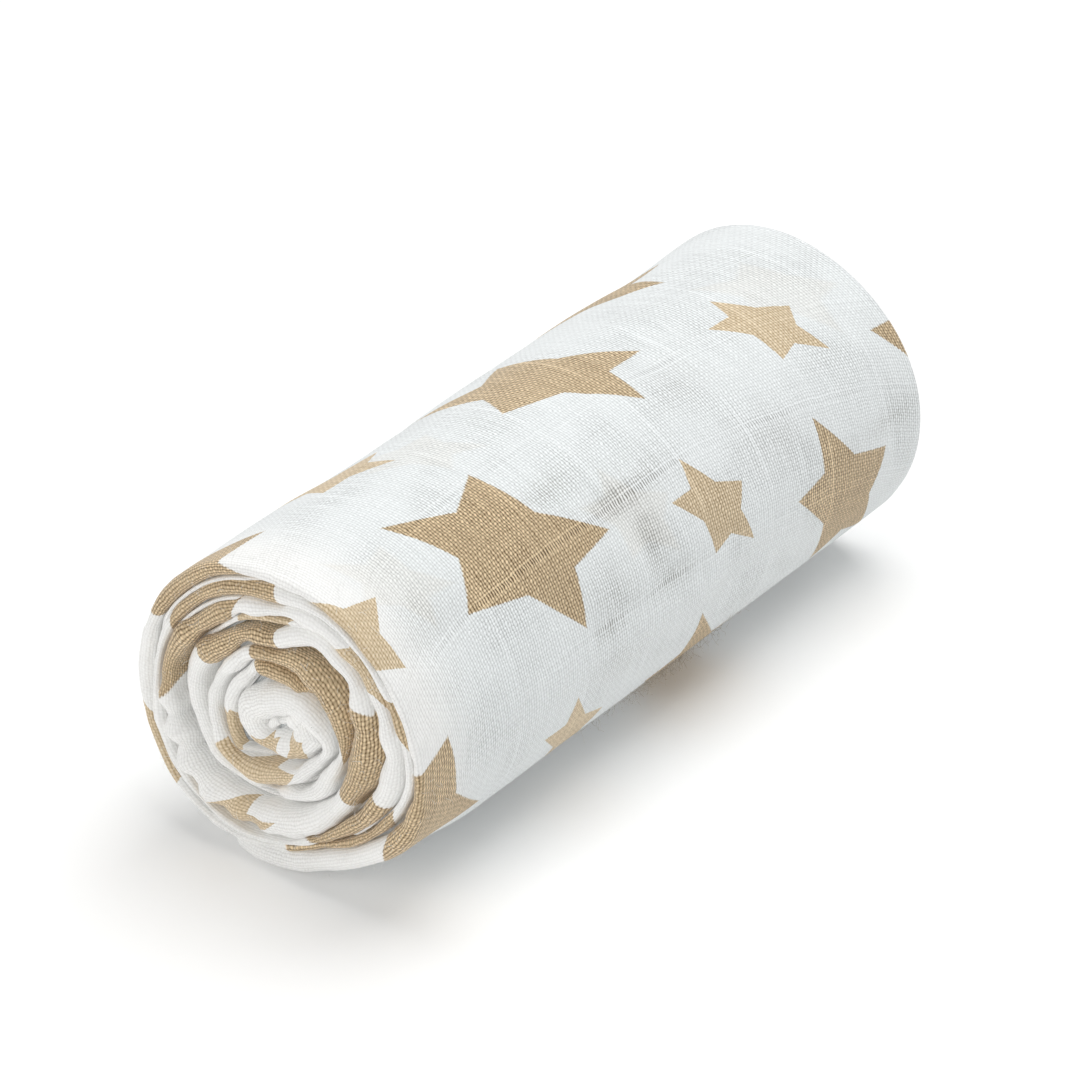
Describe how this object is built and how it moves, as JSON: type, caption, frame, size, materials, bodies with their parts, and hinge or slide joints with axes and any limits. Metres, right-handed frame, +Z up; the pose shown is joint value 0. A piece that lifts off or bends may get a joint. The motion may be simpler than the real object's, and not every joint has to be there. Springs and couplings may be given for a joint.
{
  "type": "rolled muslin bath towel",
  "caption": "Thin open-weave muslin bath towel with printed stars, folded lengthwise and rolled into a soft cylinder that lies on its loose end.",
  "frame": {"origin": "on the surface that the roll rests on, under the middle of the roll", "axes": "+Z up, Y along the roll with the end that shows its folds at -Y, and X across it with the loose end's free edge towards -X"},
  "size_m": [0.0939, 0.2195, 0.0919],
  "materials": {
    "muslin": "matte open plain weave, white, with printed stars in tan and beige"
  },
  "bodies": {
    "root": {"roll": "muslin", "loose_end": "muslin"}
  },
  "joints": []
}
